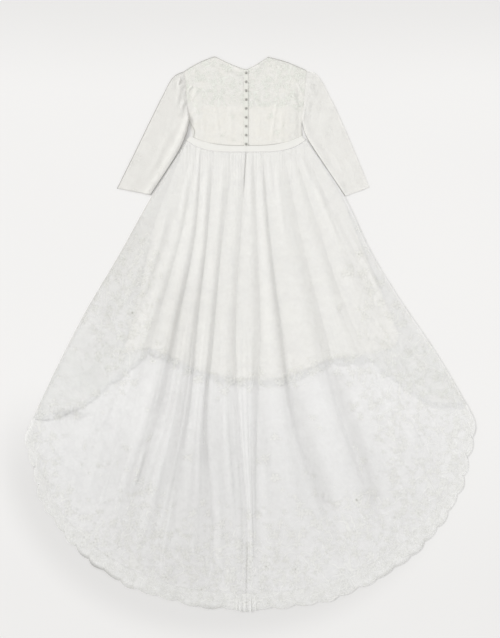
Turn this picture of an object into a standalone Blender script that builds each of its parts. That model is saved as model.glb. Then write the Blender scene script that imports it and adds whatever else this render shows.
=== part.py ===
# A long-sleeved lace wedding dress with a train, laid flat with its back side up.
#
# The drawing frame has X across the dress, Y up towards the neck and Z up from the floor. Its zero lies on the
# centre back, 8 mm above the skirt's seam. At the end the whole dress is moved so that the origin lies on the
# floor under the middle of its box. Every layer is a thin wall: the front lies on the floor, the opaque
# underdress on the front, and the pleated back with its train on the underdress.
import bmesh
import bpy
import math
import numpy as np

# Cloth and seams
WALL = 0.0012
SEAM_GAP = 0.0003
LAYER = WALL + SEAM_GAP

# Levels of the undersides, from the floor up
FRONT_LEVEL = 0.0
UNDER_FRONT_LEVEL = LAYER
UNDER_BACK_LEVEL = 2 * LAYER
BACK_LEVEL = 3 * LAYER

# Waistband: its seams are level in the middle and rise to the sides
BAND_HALF_WIDTH = 0.238
SKIRT_SEAM_LOW = -0.008
BODICE_SEAM_LOW = 0.016
SEAM_RISE = 0.048
BAND_PROUD = 0.0008
BAND_TOP_HALF_WIDTH = 0.222
CLOSEST = 0.0002

# Bodice and yoke, one row a side: where the armhole, the shoulder and the neck lie
BODICE = {
    "left": {"side": -1, "waist_x": 0.214, "armpit_x": 0.226, "armpit_y": 0.112, "shoulder_x": 0.244,
             "shoulder_y": 0.316, "neck_x": 0.124, "neck_y": 0.374},
    "right": {"side": 1, "waist_x": 0.226, "armpit_x": 0.223, "armpit_y": 0.112, "shoulder_x": 0.240,
              "shoulder_y": 0.318, "neck_x": 0.088, "neck_y": 0.372},
}
BACK_NECK_LOW = 0.322
FRONT_NECK_LOW = 0.284
SHOULDER_CURVE = 0.006
BODICE_ROWS = 12
SHOULDER_COLUMNS = 4
NECK_COLUMNS = 6
OPENING_GAP = 0.0003

# Opaque strapless bodice under the lace
UNDERBODICE_HALF_WIDTH = 0.17
UNDERBODICE_TOP = 0.182
UNDERBODICE_DIP = 0.008

# Where the lace back comes down past the underbodice
SIDE_CLEAR = 0.024
SIDE_FALL = 0.02
TOP_CLEAR = 0.022
TOP_FALL = 0.1

# Buttons down the centre back
BUTTON_RADIUS = 0.005
BUTTON_HEIGHT = 0.004
BUTTON_TOP = 0.308
BUTTON_PITCH = 0.0356
BUTTONS = 9
STAND_WIDTH = 0.016
BUTTON_SEAT = 0.0004

# Sleeves, flattened tubes: outer and inner edge at each station from the armhole to the cuff
SLEEVE = {
    "left": [
        {"outer_x": 0.2447, "outer_y": 0.316, "inner_x": 0.2269, "inner_y": 0.112},
        {"outer_x": 0.292, "outer_y": 0.290, "inner_x": 0.2295, "inner_y": 0.097},
        {"outer_x": 0.334, "outer_y": 0.216, "inner_x": 0.240, "inner_y": 0.057},
        {"outer_x": 0.393, "outer_y": 0.097, "inner_x": 0.268, "inner_y": -0.006},
        {"outer_x": 0.453, "outer_y": -0.027, "inner_x": 0.320, "inner_y": -0.088},
        {"outer_x": 0.516, "outer_y": -0.154, "inner_x": 0.381, "inner_y": -0.180},
    ],
    "right": [
        {"outer_x": 0.2407, "outer_y": 0.318, "inner_x": 0.2239, "inner_y": 0.112},
        {"outer_x": 0.287, "outer_y": 0.298, "inner_x": 0.2265, "inner_y": 0.098},
        {"outer_x": 0.336, "outer_y": 0.214, "inner_x": 0.238, "inner_y": 0.058},
        {"outer_x": 0.390, "outer_y": 0.098, "inner_x": 0.270, "inner_y": 0.004},
        {"outer_x": 0.443, "outer_y": -0.026, "inner_x": 0.332, "inner_y": -0.090},
        {"outer_x": 0.494, "outer_y": -0.150, "inner_x": 0.396, "inner_y": -0.184},
    ],
}
SLEEVE_HEIGHT = 0.0048
SLEEVE_EDGE = 0.003
SLEEVE_RINGS = 14
SLEEVE_POINTS = 9
GATHERS = 5
GATHER_HEIGHT = 0.0016

# Skirt: one row for each line that runs from the waist to the hem. x_0 to x_8 are its distances from the
# centre back at 0, 20, 40, 60 and 80 percent of its length, and hem is where it meets the hem, from a corner
# of the train (0) to the centre back (1). A pleat's crest stands just left of its line, height tall, and
# the pleat has run out at fade. front_hem and lining_hem are where the hems of the front and of the opaque
# underskirt cross the line. The first and last rows are the side seams.
SKIRT_LINES = [
    {"x_0": -0.236, "x_2": -0.381, "x_4": -0.510, "x_6": -0.646, "x_8": -0.764, "hem": 0.000,
     "height": 0.000, "fade": 1.0, "front_hem": 0.965, "lining_hem": 0.560},
    {"x_0": -0.213, "x_2": -0.290, "x_4": -0.402, "x_6": -0.524, "x_8": -0.640, "hem": 0.349,
     "height": 0.004, "fade": 0.6, "front_hem": 0.630, "lining_hem": 0.545},
    {"x_0": -0.194, "x_2": -0.254, "x_4": -0.344, "x_6": -0.436, "x_8": -0.524, "hem": 0.500,
     "height": 0.006, "fade": 0.7, "front_hem": 0.503, "lining_hem": 0.488},
    {"x_0": -0.178, "x_2": -0.202, "x_4": -0.268, "x_6": -0.332, "x_8": -0.440, "hem": 0.594,
     "height": 0.012, "fade": 0.96, "front_hem": 0.504, "lining_hem": 0.490},
    {"x_0": -0.128, "x_2": -0.156, "x_4": -0.196, "x_6": -0.232, "x_8": -0.296, "hem": 0.750,
     "height": 0.013, "fade": 1.3, "front_hem": 0.501, "lining_hem": 0.488},
    {"x_0": -0.048, "x_2": -0.096, "x_4": -0.128, "x_6": -0.156, "x_8": -0.132, "hem": 0.918,
     "height": 0.012, "fade": 1.2, "front_hem": 0.500, "lining_hem": 0.488},
    {"x_0": 0.000, "x_2": -0.022, "x_4": -0.040, "x_6": -0.024, "x_8": 0.004, "hem": 1.000,
     "height": 0.009, "fade": 1.2, "front_hem": 0.512, "lining_hem": 0.500},
    {"x_0": 0.030, "x_2": 0.046, "x_4": 0.058, "x_6": 0.046, "x_8": 0.042, "hem": 0.963,
     "height": 0.010, "fade": 0.95, "front_hem": 0.511, "lining_hem": 0.499},
    {"x_0": 0.066, "x_2": 0.096, "x_4": 0.142, "x_6": 0.196, "x_8": 0.316, "hem": 0.678,
     "height": 0.012, "fade": 1.2, "front_hem": 0.532, "lining_hem": 0.519},
    {"x_0": 0.150, "x_2": 0.216, "x_4": 0.298, "x_6": 0.384, "x_8": 0.496, "hem": 0.523,
     "height": 0.013, "fade": 1.3, "front_hem": 0.524, "lining_hem": 0.510},
    {"x_0": 0.186, "x_2": 0.280, "x_4": 0.376, "x_6": 0.504, "x_8": 0.660, "hem": 0.302,
     "height": 0.009, "fade": 0.75, "front_hem": 0.594, "lining_hem": 0.570},
    {"x_0": 0.218, "x_2": 0.342, "x_4": 0.456, "x_6": 0.588, "x_8": 0.730, "hem": 0.170,
     "height": 0.006, "fade": 0.7, "front_hem": 0.800, "lining_hem": 0.620},
    {"x_0": 0.240, "x_2": 0.389, "x_4": 0.496, "x_6": 0.632, "x_8": 0.780, "hem": 0.000,
     "height": 0.000, "fade": 1.0, "front_hem": 0.965, "lining_hem": 0.620},
]
CENTRE_LINE = 6
LAST_LINE = len(SKIRT_LINES) - 1
STATIONS = ["x_0", "x_2", "x_4", "x_6", "x_8"]
PANEL_PLACES = [0.0, 0.26, 0.5, 0.7, 0.84, 0.93]
SKIRT_ROWS = 22
FRONT_ROWS = 8
CREST = 0.84
FOOT = 0.93
LEAN = 0.35
RISE_END = 0.10
OPEN_START = 0.45
OPEN_KEEP = 0.4

# Hem of the train: a rounded oval on each side, from its corner to the centre back
HEM = {
    "left": {"half_width": 0.872, "corner_y": -1.116},
    "right": {"half_width": 0.908, "corner_y": -1.060},
}
HEM_LOW = -1.836
HEM_ROUND = 2.15
LACE_START = 0.966
LACE_PARTS = 3
SCALLOPS = 16
SCALLOP_DEPTH = 0.014
FRONT_SCALLOPS = 2
FRONT_LACE_DEPTH = 0.028
TAIL_DEPTH = 0.012
TAIL_REACH = 0.03

# Where the back comes down off the layers under it
HEM_REST = 0.05
HEM_RAMP = 0.05
NEARBY = 0.27
SIDE_REST = 0.48
SIDE_RAMP = 0.34


def clear_scene():
    for item in list(bpy.data.objects):
        bpy.data.objects.remove(item, do_unlink=True)


def smooth(value):
    """Soft step from 0 to 1."""
    value = min(max(value, 0.0), 1.0)
    return value * value * (3.0 - 2.0 * value)


def blend(first, second, share):
    return first + (second - first) * share


def through(values, share):
    """Smooth curve through evenly spaced values."""
    spans = len(values) - 1
    place = min(max(share, 0.0), 1.0) * spans
    start = min(int(place), spans - 1)
    local = place - start
    here, ahead = values[start], values[start + 1]
    slope = (ahead - values[start - 1]) / 2 if start > 0 else ahead - here
    next_slope = (values[start + 2] - here) / 2 if start + 2 <= spans else ahead - here
    square, cube = local ** 2, local ** 3
    return ((2 * cube - 3 * square + 1) * here + (cube - 2 * square + local) * slope
            + (3 * square - 2 * cube) * ahead + (cube - square) * next_slope)


def spread(first, last, count):
    return list(np.linspace(first, last, count + 1))


def material(name, red, green, blue, roughness):
    new = bpy.data.materials.new(name)
    new.use_nodes = True
    shader = new.node_tree.nodes["Principled BSDF"]
    shader.inputs["Base Color"].default_value = (red, green, blue, 1.0)
    shader.inputs["Roughness"].default_value = roughness
    shader.inputs["Metallic"].default_value = 0.0
    new.diffuse_color = (red, green, blue, 1.0)
    return new


def add_object(name, mesh, finish):
    piece = bpy.data.objects.new(name, mesh)
    bpy.context.collection.objects.link(piece)
    mesh.materials.append(finish)
    return piece


def cloth(name, place, across, along, finish, wall=WALL, closed=False):
    """Wall of cloth: place(u, v) gives the middle of the wall for each column u and row v."""
    shape = bmesh.new()
    bmesh.ops.create_grid(shape, x_segments=len(across) - 1, y_segments=len(along) - 1, size=0.5)
    for vert in shape.verts:
        column = round((vert.co.x + 0.5) * (len(across) - 1))
        row = round((vert.co.y + 0.5) * (len(along) - 1))
        vert.co = place(across[column], along[row])
    if closed:
        bmesh.ops.remove_doubles(shape, verts=shape.verts, dist=0.00001)
    mesh = bpy.data.meshes.new(name)
    shape.to_mesh(mesh)
    shape.free()
    piece = add_object(name, mesh, finish)
    mesh.shade_smooth()
    thickness = piece.modifiers.new("wall", "SOLIDIFY")
    thickness.thickness = wall
    thickness.offset = 0.0
    return piece


def bodice_columns(side):
    """Columns of one half of the bodice, from the side (0) to the centre (1), with one at the neck."""
    neck = 1 - side["neck_x"] / side["shoulder_x"]
    return spread(0, neck, SHOULDER_COLUMNS) + spread(neck, 1, NECK_COLUMNS)[1:]


def bodice_knots():
    left, right = BODICE["left"], BODICE["right"]
    knots = [-left["waist_x"] * (1 - across) for across in bodice_columns(left)]
    return knots + [right["waist_x"] * (1 - across) for across in reversed(bodice_columns(right))][1:]


def skirt_knots():
    return [row["x_0"] for row in SKIRT_LINES]


def skirt_seam(x):
    """Seam under the waistband, straight between one line of the skirt and the next."""
    knots = skirt_knots()
    heights = [SKIRT_SEAM_LOW + SEAM_RISE * (abs(knot) / BAND_HALF_WIDTH) ** 4 for knot in knots]
    return float(np.interp(x, knots, heights))


def bodice_seam(x):
    """Seam over the waistband, straight between one column of the bodice and the next."""
    knots = bodice_knots()
    heights = [BODICE_SEAM_LOW + SEAM_RISE * (abs(knot) / BAND_HALF_WIDTH) ** 3 for knot in knots]
    return float(np.interp(x, knots, heights))


def line_value(name, line):
    """Value of a column of the skirt's table at any place between two lines."""
    start = min(int(line), LAST_LINE - 1)
    return blend(SKIRT_LINES[start][name], SKIRT_LINES[start + 1][name], line - start)


def hem_point(line):
    side = HEM["left"] if line <= CENTRE_LINE else HEM["right"]
    turn = line_value("hem", line) * math.pi / 2
    sign = -1 if line <= CENTRE_LINE else 1
    x = sign * side["half_width"] * max(math.cos(turn), 0.0) ** (2 / HEM_ROUND)
    y = blend(side["corner_y"], HEM_LOW, max(math.sin(turn), 0.0) ** (2 / HEM_ROUND))
    return x, y


def skirt_plan(line, share):
    """Plan position on the skirt: line counts the table's rows, share runs from the waist to the hem."""
    hem_x, hem_y = hem_point(line)
    stations = [line_value(name, line) for name in STATIONS] + [hem_x]
    top = skirt_seam(stations[0]) - SEAM_GAP
    return through(stations, share), blend(top, hem_y, share)


def still_over(name, line, share):
    """1 above a hem below the back, down to 0 past the lowest place of that hem nearby."""
    nearby = [min(max(line + step, 0), LAST_LINE) for step in (-NEARBY, 0, NEARBY)]
    hem = max(line_value(name, place) for place in nearby)
    return 1.0 - smooth((share - hem - HEM_REST) / HEM_RAMP)


def over_lining(line, share):
    """1 where the back lies on the opaque underskirt, 0 where it doesn't."""
    down = still_over("lining_hem", line, share)
    edge = min(line, LAST_LINE - line)
    return down * smooth((edge - SIDE_REST) / SIDE_RAMP)


def pleat(line, share):
    """Height of the pleat's wave: it climbs to its crest, then drops at its line on the right."""
    start = min(int(line + 0.000001), LAST_LINE - 1)
    across = min(max(line - start, 0.0), 1.0)
    row = SKIRT_LINES[start + 1]
    if across < CREST:
        wave = smooth(across / CREST)
    else:
        wave = 1.0 - smooth((across - CREST) / (FOOT - CREST))
    grown = blend(0.12, 1.0, smooth(share / RISE_END))
    opened = blend(1.0, OPEN_KEEP, smooth((share - OPEN_START) / (1.0 - OPEN_START)))
    faded = 1.0 - smooth((share - row["fade"] + 0.25) / 0.25)
    return row["height"] * wave * grown * opened * faded


def back_skirt(line, share):
    x, y = skirt_plan(line, share)
    rise = pleat(line, share)
    level = LAYER * still_over("front_hem", line, share) + 2 * LAYER * over_lining(line, share)
    return x + LEAN * rise, y, level + rise + WALL / 2


def panel_columns(first, last):
    """Columns of the net: the same places between each line and the next, closest at the crest."""
    return [line + place for line in range(first, last) for place in PANEL_PLACES] + [last]


def skirt_rows():
    """Rows of the back skirt, closer together at the waist."""
    return [LACE_START * (step / SKIRT_ROWS) ** 1.15 for step in range(SKIRT_ROWS + 1)]


def make_back_skirt(side, first, last, finish):
    columns = panel_columns(first, last)
    gap = OPENING_GAP / 2 * (-1 if side == "left" else 1)

    def place(line, share):
        x, y, z = back_skirt(line, share)
        if line == CENTRE_LINE:
            x += gap
        return x, y, z

    cloth("back_skirt_" + side, place, columns, skirt_rows(), finish)


def outward(line):
    """Direction in plan that leads out of the train's hem."""
    turn = line_value("hem", line) * math.pi / 2
    sign = -1 if line <= CENTRE_LINE else 1
    return sign * math.cos(turn), -math.sin(turn)


def scallop(line):
    """How far the lace edging reaches past the hem's smooth curve."""
    share = line_value("hem", line)
    arc = abs(math.sin(math.pi * SCALLOPS * share)) ** 0.7
    tail = TAIL_DEPTH * smooth((share - 1 + TAIL_REACH) / TAIL_REACH)
    return SCALLOP_DEPTH * (arc - 0.5) + tail


def make_train_lace(side, first, last, finish):
    """Scalloped edging sewn to the train: it follows the net's chords, in finer steps."""
    knots = panel_columns(first, last)
    columns = [blend(low, high, part / LACE_PARTS) for low, high in zip(knots, knots[1:])
               for part in range(LACE_PARTS)] + [last]
    gap = OPENING_GAP / 2 * (-1 if side == "left" else 1)
    inner = LACE_START + SEAM_GAP / 1.2

    def on_chord(line, share):
        start = max(index for index in range(len(knots) - 1) if knots[index] <= line + 0.000001)
        local = (line - knots[start]) / (knots[start + 1] - knots[start])
        low = back_skirt(knots[start], share)
        high = back_skirt(knots[start + 1], share)
        return [blend(low[axis], high[axis], local) for axis in range(3)]

    def place(line, share):
        x, y, z = on_chord(line, blend(inner, 1.0, share))
        out_x, out_y = outward(line)
        reach = scallop(line) * share
        if line == CENTRE_LINE:
            x += gap
            out_x = 0.0
        return x + out_x * reach, y + out_y * reach, z

    cloth("train_lace_" + side, place, columns, [0.0, 0.5, 1.0], finish)


def flat_skirt(level, line, share):
    x, y = skirt_plan(line, share)
    return x, y, level + WALL / 2


def front_lace_share(line):
    """Share of a line's length that the front's lace edging takes up."""
    length = math.dist(skirt_plan(line, 0.0), skirt_plan(line, 1.0))
    return FRONT_LACE_DEPTH / length


def make_front_skirt(finish):
    columns = spread(0, LAST_LINE, LAST_LINE * 2)

    def place(line, share):
        hem = line_value("front_hem", line) - front_lace_share(line)
        return flat_skirt(FRONT_LEVEL, line, share * hem)

    cloth("front_skirt", place, columns, spread(0, 1, FRONT_ROWS), finish)


def make_front_lace(finish):
    """Scalloped edging of the shorter front hem, two scallops between one line and the next."""
    parts = 6
    columns = spread(0, LAST_LINE, LAST_LINE * 2 * parts)
    shift = SEAM_GAP

    def on_chord(line, local_share):
        step = line * 2
        start = min(int(step + 0.000001), LAST_LINE * 2 - 1)
        ends = []
        for knot in (start / 2, (start + 1) / 2):
            hem = line_value("front_hem", knot)
            band = front_lace_share(knot)
            share = hem - band + shift + band * local_share
            ends.append(flat_skirt(FRONT_LEVEL, knot, share))
        return [blend(ends[0][axis], ends[1][axis], step - start) for axis in range(3)]

    def place(line, share):
        arc = abs(math.sin(math.pi * FRONT_SCALLOPS * line)) ** 0.7
        return on_chord(line, share * (0.72 + 0.4 * arc))

    cloth("front_hem_lace", place, columns, [0.0, 1.0], finish)


def make_underskirt(name, level, finish):
    first, last = 1, LAST_LINE - 1
    columns = spread(first, last, (last - first) * 2)

    def place(line, share):
        return flat_skirt(level, line, share * line_value("lining_hem", line))

    cloth(name, place, columns, spread(0, 1, FRONT_ROWS), finish)


def make_waistband(name, first_x, last_x, level, wall, finish):
    knots = sorted(skirt_knots() + bodice_knots())
    columns = [first_x] + [x for x in knots if first_x + CLOSEST < x < last_x - CLOSEST] + [last_x]

    def place(x, share):
        high_x = math.copysign(min(abs(x), BAND_TOP_HALF_WIDTH), x)
        y = blend(skirt_seam(x), bodice_seam(high_x) - SEAM_GAP, share)
        return blend(x, high_x, share), y, level + wall / 2

    cloth(name, place, columns, [0.0, 0.5, 1.0], finish, wall=wall)


def top_edge(side, x, neck_low):
    """Shoulder seam and neckline over the bodice."""
    x = abs(x)
    if x >= side["neck_x"]:
        share = (side["shoulder_x"] - x) / (side["shoulder_x"] - side["neck_x"])
        rise = SHOULDER_CURVE * math.sin(math.pi * share)
        return blend(side["shoulder_y"], side["neck_y"], share) + rise
    share = x / side["neck_x"]
    return blend(neck_low, side["neck_y"], share ** 1.25)


def side_start(side):
    return bodice_seam(side["side"] * side["waist_x"])


def side_edge(side, y):
    """Half width of the bodice: the side seam up to the armpit, then the armhole."""
    start = side_start(side)
    if y < side["armpit_y"]:
        return blend(side["waist_x"], side["armpit_x"], (y - start) / (side["armpit_y"] - start))
    above = (y - side["armpit_y"]) / (side["shoulder_y"] - side["armpit_y"])
    return blend(side["armpit_x"], side["shoulder_x"], above)


def bodice_plan(side, across, up, neck_low):
    """across runs from the side (0) to the centre back (1), up from the waistband to the top."""
    foot_y = bodice_seam(side["side"] * side["waist_x"] * (1 - across))
    head_x = side["shoulder_x"] * (1 - across)
    head_y = top_edge(side, head_x, neck_low)
    edge_y = blend(side_start(side), side["shoulder_y"], up)
    x = side_edge(side, edge_y) * (1 - across)
    return side["side"] * x, blend(foot_y, head_y, up)


def bodice_rows(side):
    """Rows up the bodice, with one at the armpit."""
    start = side_start(side)
    armpit = (side["armpit_y"] - start) / (side["shoulder_y"] - start)
    below = 3
    return spread(0, armpit, below) + spread(armpit, 1, BODICE_ROWS - below)[1:]


def back_level(x, y):
    """Underside of the lace back: it comes down past the underbodice, at its top and at its sides."""
    inside = 1.0 - smooth((abs(x) - UNDERBODICE_HALF_WIDTH - SIDE_CLEAR) / SIDE_FALL)
    below = 1.0 - smooth((y - UNDERBODICE_TOP - TOP_CLEAR) / TOP_FALL)
    return LAYER + 2 * LAYER * inside * below


def make_lace_back(name, finish):
    side = BODICE[name]

    def place(across, up):
        x, y = bodice_plan(side, across, up, BACK_NECK_LOW)
        if across == 1:
            x = side["side"] * OPENING_GAP / 2
        return x, y, back_level(x, y) + WALL / 2

    cloth("lace_back_" + name, place, bodice_columns(side), bodice_rows(side), finish)


def make_lace_front(finish):
    """The front is one piece: its left and right columns run on across the centre."""
    left, right = BODICE["left"], BODICE["right"]
    columns = [across - 1 for across in bodice_columns(left)]
    columns += [1 - across for across in reversed(bodice_columns(right))][1:]

    def place(across, up):
        side = left if across <= 0 else right
        x, y = bodice_plan(side, 1 - abs(across), up, FRONT_NECK_LOW)
        return x, y, FRONT_LEVEL + WALL / 2

    cloth("lace_front", place, columns, bodice_rows(left), finish)


def make_underbodice(name, first_x, last_x, level, finish):
    """Strapless opaque bodice; its top edge dips a little towards the centre."""
    columns = [first_x] + [x for x in skirt_knots() if first_x + CLOSEST < x < last_x - CLOSEST] + [last_x]

    def place(x, up):
        foot = skirt_seam(x) + SEAM_GAP
        dip = UNDERBODICE_DIP * (1 - (abs(x) / UNDERBODICE_HALF_WIDTH) ** 2)
        return x, blend(foot, UNDERBODICE_TOP - dip, up), level + WALL / 2

    cloth(name, place, columns, spread(0, 1, 5), finish)


def sleeve_edge(stations, share, edge):
    x = through([row[edge + "_x"] for row in stations], share)
    y = through([row[edge + "_y"] for row in stations], share)
    return x, y


def sleeve_level(rank, share):
    """Middle of the sleeve's upper wall, with small gathers at its head."""
    top = SLEEVE_HEIGHT - WALL / 2
    wave = 0.5 - 0.5 * math.cos(2 * math.pi * GATHERS * rank)
    return top + GATHER_HEIGHT * wave * (1 - smooth((share - 0.06) / 0.16)) * smooth(share / 0.05)


def make_sleeve(name, finish):
    """Tube laid flat: down the lower wall, round the inner edge, back over the upper wall."""
    stations = SLEEVE[name]
    sign = BODICE[name]["side"]
    ranks = spread(0, 1, SLEEVE_POINTS - 1)
    low = [(rank, "low") for rank in ranks]
    high = [(rank, "high") for rank in reversed(ranks)]
    loop = [(-1.0, "edge")] + low + [(2.0, "edge")] + high + [(-1.0, "edge")]

    def place(spot, share):
        rank, wall = spot
        outer = sleeve_edge(stations, share, "outer")
        inner = sleeve_edge(stations, share, "inner")
        width = math.dist(outer, inner)
        inset = SLEEVE_EDGE / width
        if wall == "edge":
            shift = WALL / 2 / width
            along = shift if rank < 0 else 1 - shift
            z = SLEEVE_HEIGHT / 2
        else:
            along = blend(inset, 1 - inset, rank)
            z = WALL / 2 if wall == "low" else sleeve_level(rank, share)
        return sign * blend(outer[0], inner[0], along), blend(outer[1], inner[1], along), z

    rows = spread(0, 1, SLEEVE_RINGS)
    if sign < 0:
        loop = list(reversed(loop))
    cloth("sleeve_" + name, place, loop, rows, finish, closed=True)


def lace_top(y):
    return back_level(0.0, y) + WALL


def make_button_stand(finish):
    low = bodice_seam(0.0)
    columns = [-STAND_WIDTH / 2, 0.0, STAND_WIDTH / 2]

    def place(x, share):
        y = blend(low, BACK_NECK_LOW - 0.002, share)
        return x, y, lace_top(y) + SEAM_GAP + WALL / 2

    cloth("button_stand", place, columns, bodice_rows(BODICE["left"]), finish)


def make_button(number, finish):
    """Small domed button, flat underneath."""
    y = BUTTON_TOP - BUTTON_PITCH * number
    shape = bmesh.new()
    bmesh.ops.create_uvsphere(shape, u_segments=14, v_segments=8, radius=BUTTON_RADIUS)
    below = [vert for vert in shape.verts if vert.co.z < -0.000001]
    bmesh.ops.delete(shape, geom=below, context="VERTS")
    rim = [edge for edge in shape.edges if edge.is_boundary]
    bmesh.ops.holes_fill(shape, edges=rim, sides=0)
    bmesh.ops.scale(shape, vec=(1.0, 1.0, BUTTON_HEIGHT / BUTTON_RADIUS), verts=shape.verts)
    level = lace_top(y - BUTTON_RADIUS) + SEAM_GAP + WALL + BUTTON_SEAT
    bmesh.ops.translate(shape, vec=(0.0, y, level), verts=shape.verts)
    bmesh.ops.recalc_face_normals(shape, faces=shape.faces)
    mesh = bpy.data.meshes.new("button")
    shape.to_mesh(mesh)
    shape.free()
    mesh.shade_smooth()
    add_object("button_%d" % (number + 1), mesh, finish)


def centre_on_floor():
    """Moves the dress so that the origin lies under the middle of its box."""
    bpy.context.view_layer.update()
    graph = bpy.context.evaluated_depsgraph_get()
    points = []
    for item in bpy.data.objects:
        mesh = item.evaluated_get(graph).to_mesh()
        points += [tuple(vert.co) for vert in mesh.vertices]
    points = np.array(points)
    shift = (points.min(axis=0) + points.max(axis=0)) / 2
    for item in bpy.data.objects:
        for vert in item.data.vertices:
            vert.co.x -= shift[0]
            vert.co.y -= shift[1]


clear_scene()

net = material("pleated_net", 0.80, 0.80, 0.79, 0.8)
lace = material("floral_lace", 0.83, 0.83, 0.80, 0.8)
edging = material("scalloped_edging", 0.85, 0.85, 0.83, 0.8)
crepe = material("ivory_crepe", 0.86, 0.85, 0.82, 0.6)
band = material("waistband_satin", 0.87, 0.86, 0.83, 0.5)
covered = material("covered_button", 0.55, 0.55, 0.52, 0.4)

make_front_skirt(net)
make_front_lace(edging)
make_lace_front(lace)
make_waistband("waistband_front", -BAND_HALF_WIDTH, BAND_HALF_WIDTH, FRONT_LEVEL, WALL, band)
make_underskirt("underskirt_front", UNDER_FRONT_LEVEL, crepe)
make_underskirt("underskirt_back", UNDER_BACK_LEVEL, crepe)
under = UNDERBODICE_HALF_WIDTH
make_underbodice("underbodice_front", -under, under, UNDER_FRONT_LEVEL, crepe)
make_underbodice("underbodice_back_left", -under, -OPENING_GAP / 2, UNDER_BACK_LEVEL, crepe)
make_underbodice("underbodice_back_right", OPENING_GAP / 2, under, UNDER_BACK_LEVEL, crepe)
make_back_skirt("left", 0, CENTRE_LINE, net)
make_back_skirt("right", CENTRE_LINE, LAST_LINE, net)
make_train_lace("left", 0, CENTRE_LINE, edging)
make_train_lace("right", CENTRE_LINE, LAST_LINE, edging)
make_waistband("waistband_back_left", -BAND_HALF_WIDTH, -OPENING_GAP / 2, BACK_LEVEL, WALL + BAND_PROUD, band)
make_waistband("waistband_back_right", OPENING_GAP / 2, BAND_HALF_WIDTH, BACK_LEVEL, WALL + BAND_PROUD, band)
make_lace_back("left", lace)
make_lace_back("right", lace)
make_sleeve("left", lace)
make_sleeve("right", lace)
make_button_stand(crepe)
for button in range(BUTTONS):
    make_button(button, covered)
centre_on_floor()
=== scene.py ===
import bmesh
import bpy
import math
from functools import partial
from mathutils import Matrix, noise, Vector


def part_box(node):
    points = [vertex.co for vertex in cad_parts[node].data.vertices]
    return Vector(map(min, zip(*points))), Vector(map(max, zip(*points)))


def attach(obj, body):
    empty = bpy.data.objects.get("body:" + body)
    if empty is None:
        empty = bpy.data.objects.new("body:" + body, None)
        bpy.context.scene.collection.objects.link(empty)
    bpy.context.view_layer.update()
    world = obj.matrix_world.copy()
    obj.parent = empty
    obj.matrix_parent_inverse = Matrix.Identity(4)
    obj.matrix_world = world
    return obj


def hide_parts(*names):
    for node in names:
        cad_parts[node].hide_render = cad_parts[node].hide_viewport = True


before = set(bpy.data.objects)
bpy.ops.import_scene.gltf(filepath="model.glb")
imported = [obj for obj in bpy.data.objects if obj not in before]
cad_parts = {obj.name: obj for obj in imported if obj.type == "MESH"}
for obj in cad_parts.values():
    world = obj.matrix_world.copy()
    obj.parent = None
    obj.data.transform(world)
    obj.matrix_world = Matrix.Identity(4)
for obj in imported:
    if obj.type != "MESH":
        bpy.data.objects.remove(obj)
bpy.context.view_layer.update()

scene = bpy.context.scene
print("frame loaded:", len(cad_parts), "pieces of the dress")

# The drawing's zero lies on the centre back, at the waist. The top button says where that is.
topButtonUp = 0.308  # from the waist to the middle of the top button
buttonLow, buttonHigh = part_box("button_1")
centreBack = (buttonLow[0] + buttonHigh[0]) / 2
waistLine = (buttonLow[1] + buttonHigh[1]) / 2 - topButtonUp

wall = 0.0012  # the frame's cloth walls
seamGap = 0.0003
layer = wall + seamGap
shellThickness = 0.0007  # lace and net as they look


def smoothStep(value):
    value = min(max(value, 0.0), 1.0)
    return value * value * (3.0 - 2.0 * value)


def mix(first, second, share):
    return first + (second - first) * share


def hump(distance, width):
    # soft ridge, 1 in its middle
    return math.exp(-(distance / width) ** 2)


def throughStations(values, share):
    # smooth curve through evenly spaced values
    spans = len(values) - 1
    place = min(max(share, 0.0), 1.0) * spans
    start = min(int(place), spans - 1)
    local = place - start
    here, ahead = values[start], values[start + 1]
    slope = (ahead - values[start - 1]) / 2 if start > 0 else ahead - here
    nextSlope = (values[start + 2] - here) / 2 if start + 2 <= spans else ahead - here
    square, cube = local ** 2, local ** 3
    return ((2 * cube - 3 * square + 1) * here + (cube - 2 * square + local) * slope
            + (3 * square - 2 * cube) * ahead + (cube - square) * nextSlope)


def evenly(first, last, count):
    return [mix(first, last, step / count) for step in range(count + 1)]


def wander(x, y, seed):
    # slow unevenness between -1 and 1, the same each run
    return noise.noise(Vector((x, y, seed * 7.31)))


def tableRows(columns, *rows):
    # a dictionary for each row, with the columns named once
    return [dict(zip(columns.split(), row)) for row in rows]


# Materials

def linearColour(hexColour):
    channels = [int(hexColour[start:start + 2], 16) / 255 for start in (1, 3, 5)]
    spread = [value / 12.92 if value <= 0.04045 else ((value + 0.055) / 1.055) ** 2.4 for value in channels]
    return (*spread, 1.0)


def addNode(tree, kind, *sources, named=None, **settings):
    # sources fill the sockets in order, named those given by name or number. A source is a value, a socket or
    # a node, whose first output is taken. settings are the node's own properties.
    node = tree.nodes.new("ShaderNode" + kind)
    for name, value in settings.items():
        setattr(node, name, value)
    fed = [(node.inputs[key], source) for key, source in (named or {}).items()]
    for socket, source in [*zip(node.inputs, sources), *fed]:
        if isinstance(source, bpy.types.Node):
            source = source.outputs[0]
        if isinstance(source, bpy.types.NodeSocket):
            tree.links.new(source, socket)
        else:
            socket.default_value = source
    return node


def startMaterial(name, roughness, sheen=0.0, specular=0.5):
    new = bpy.data.materials.new(name)
    new.use_nodes = True
    shader = new.node_tree.nodes["Principled BSDF"]
    shader.inputs["Roughness"].default_value = roughness
    shader.inputs["Sheen Weight"].default_value = sheen
    shader.inputs["Specular IOR Level"].default_value = specular
    return new, new.node_tree, shader


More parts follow.
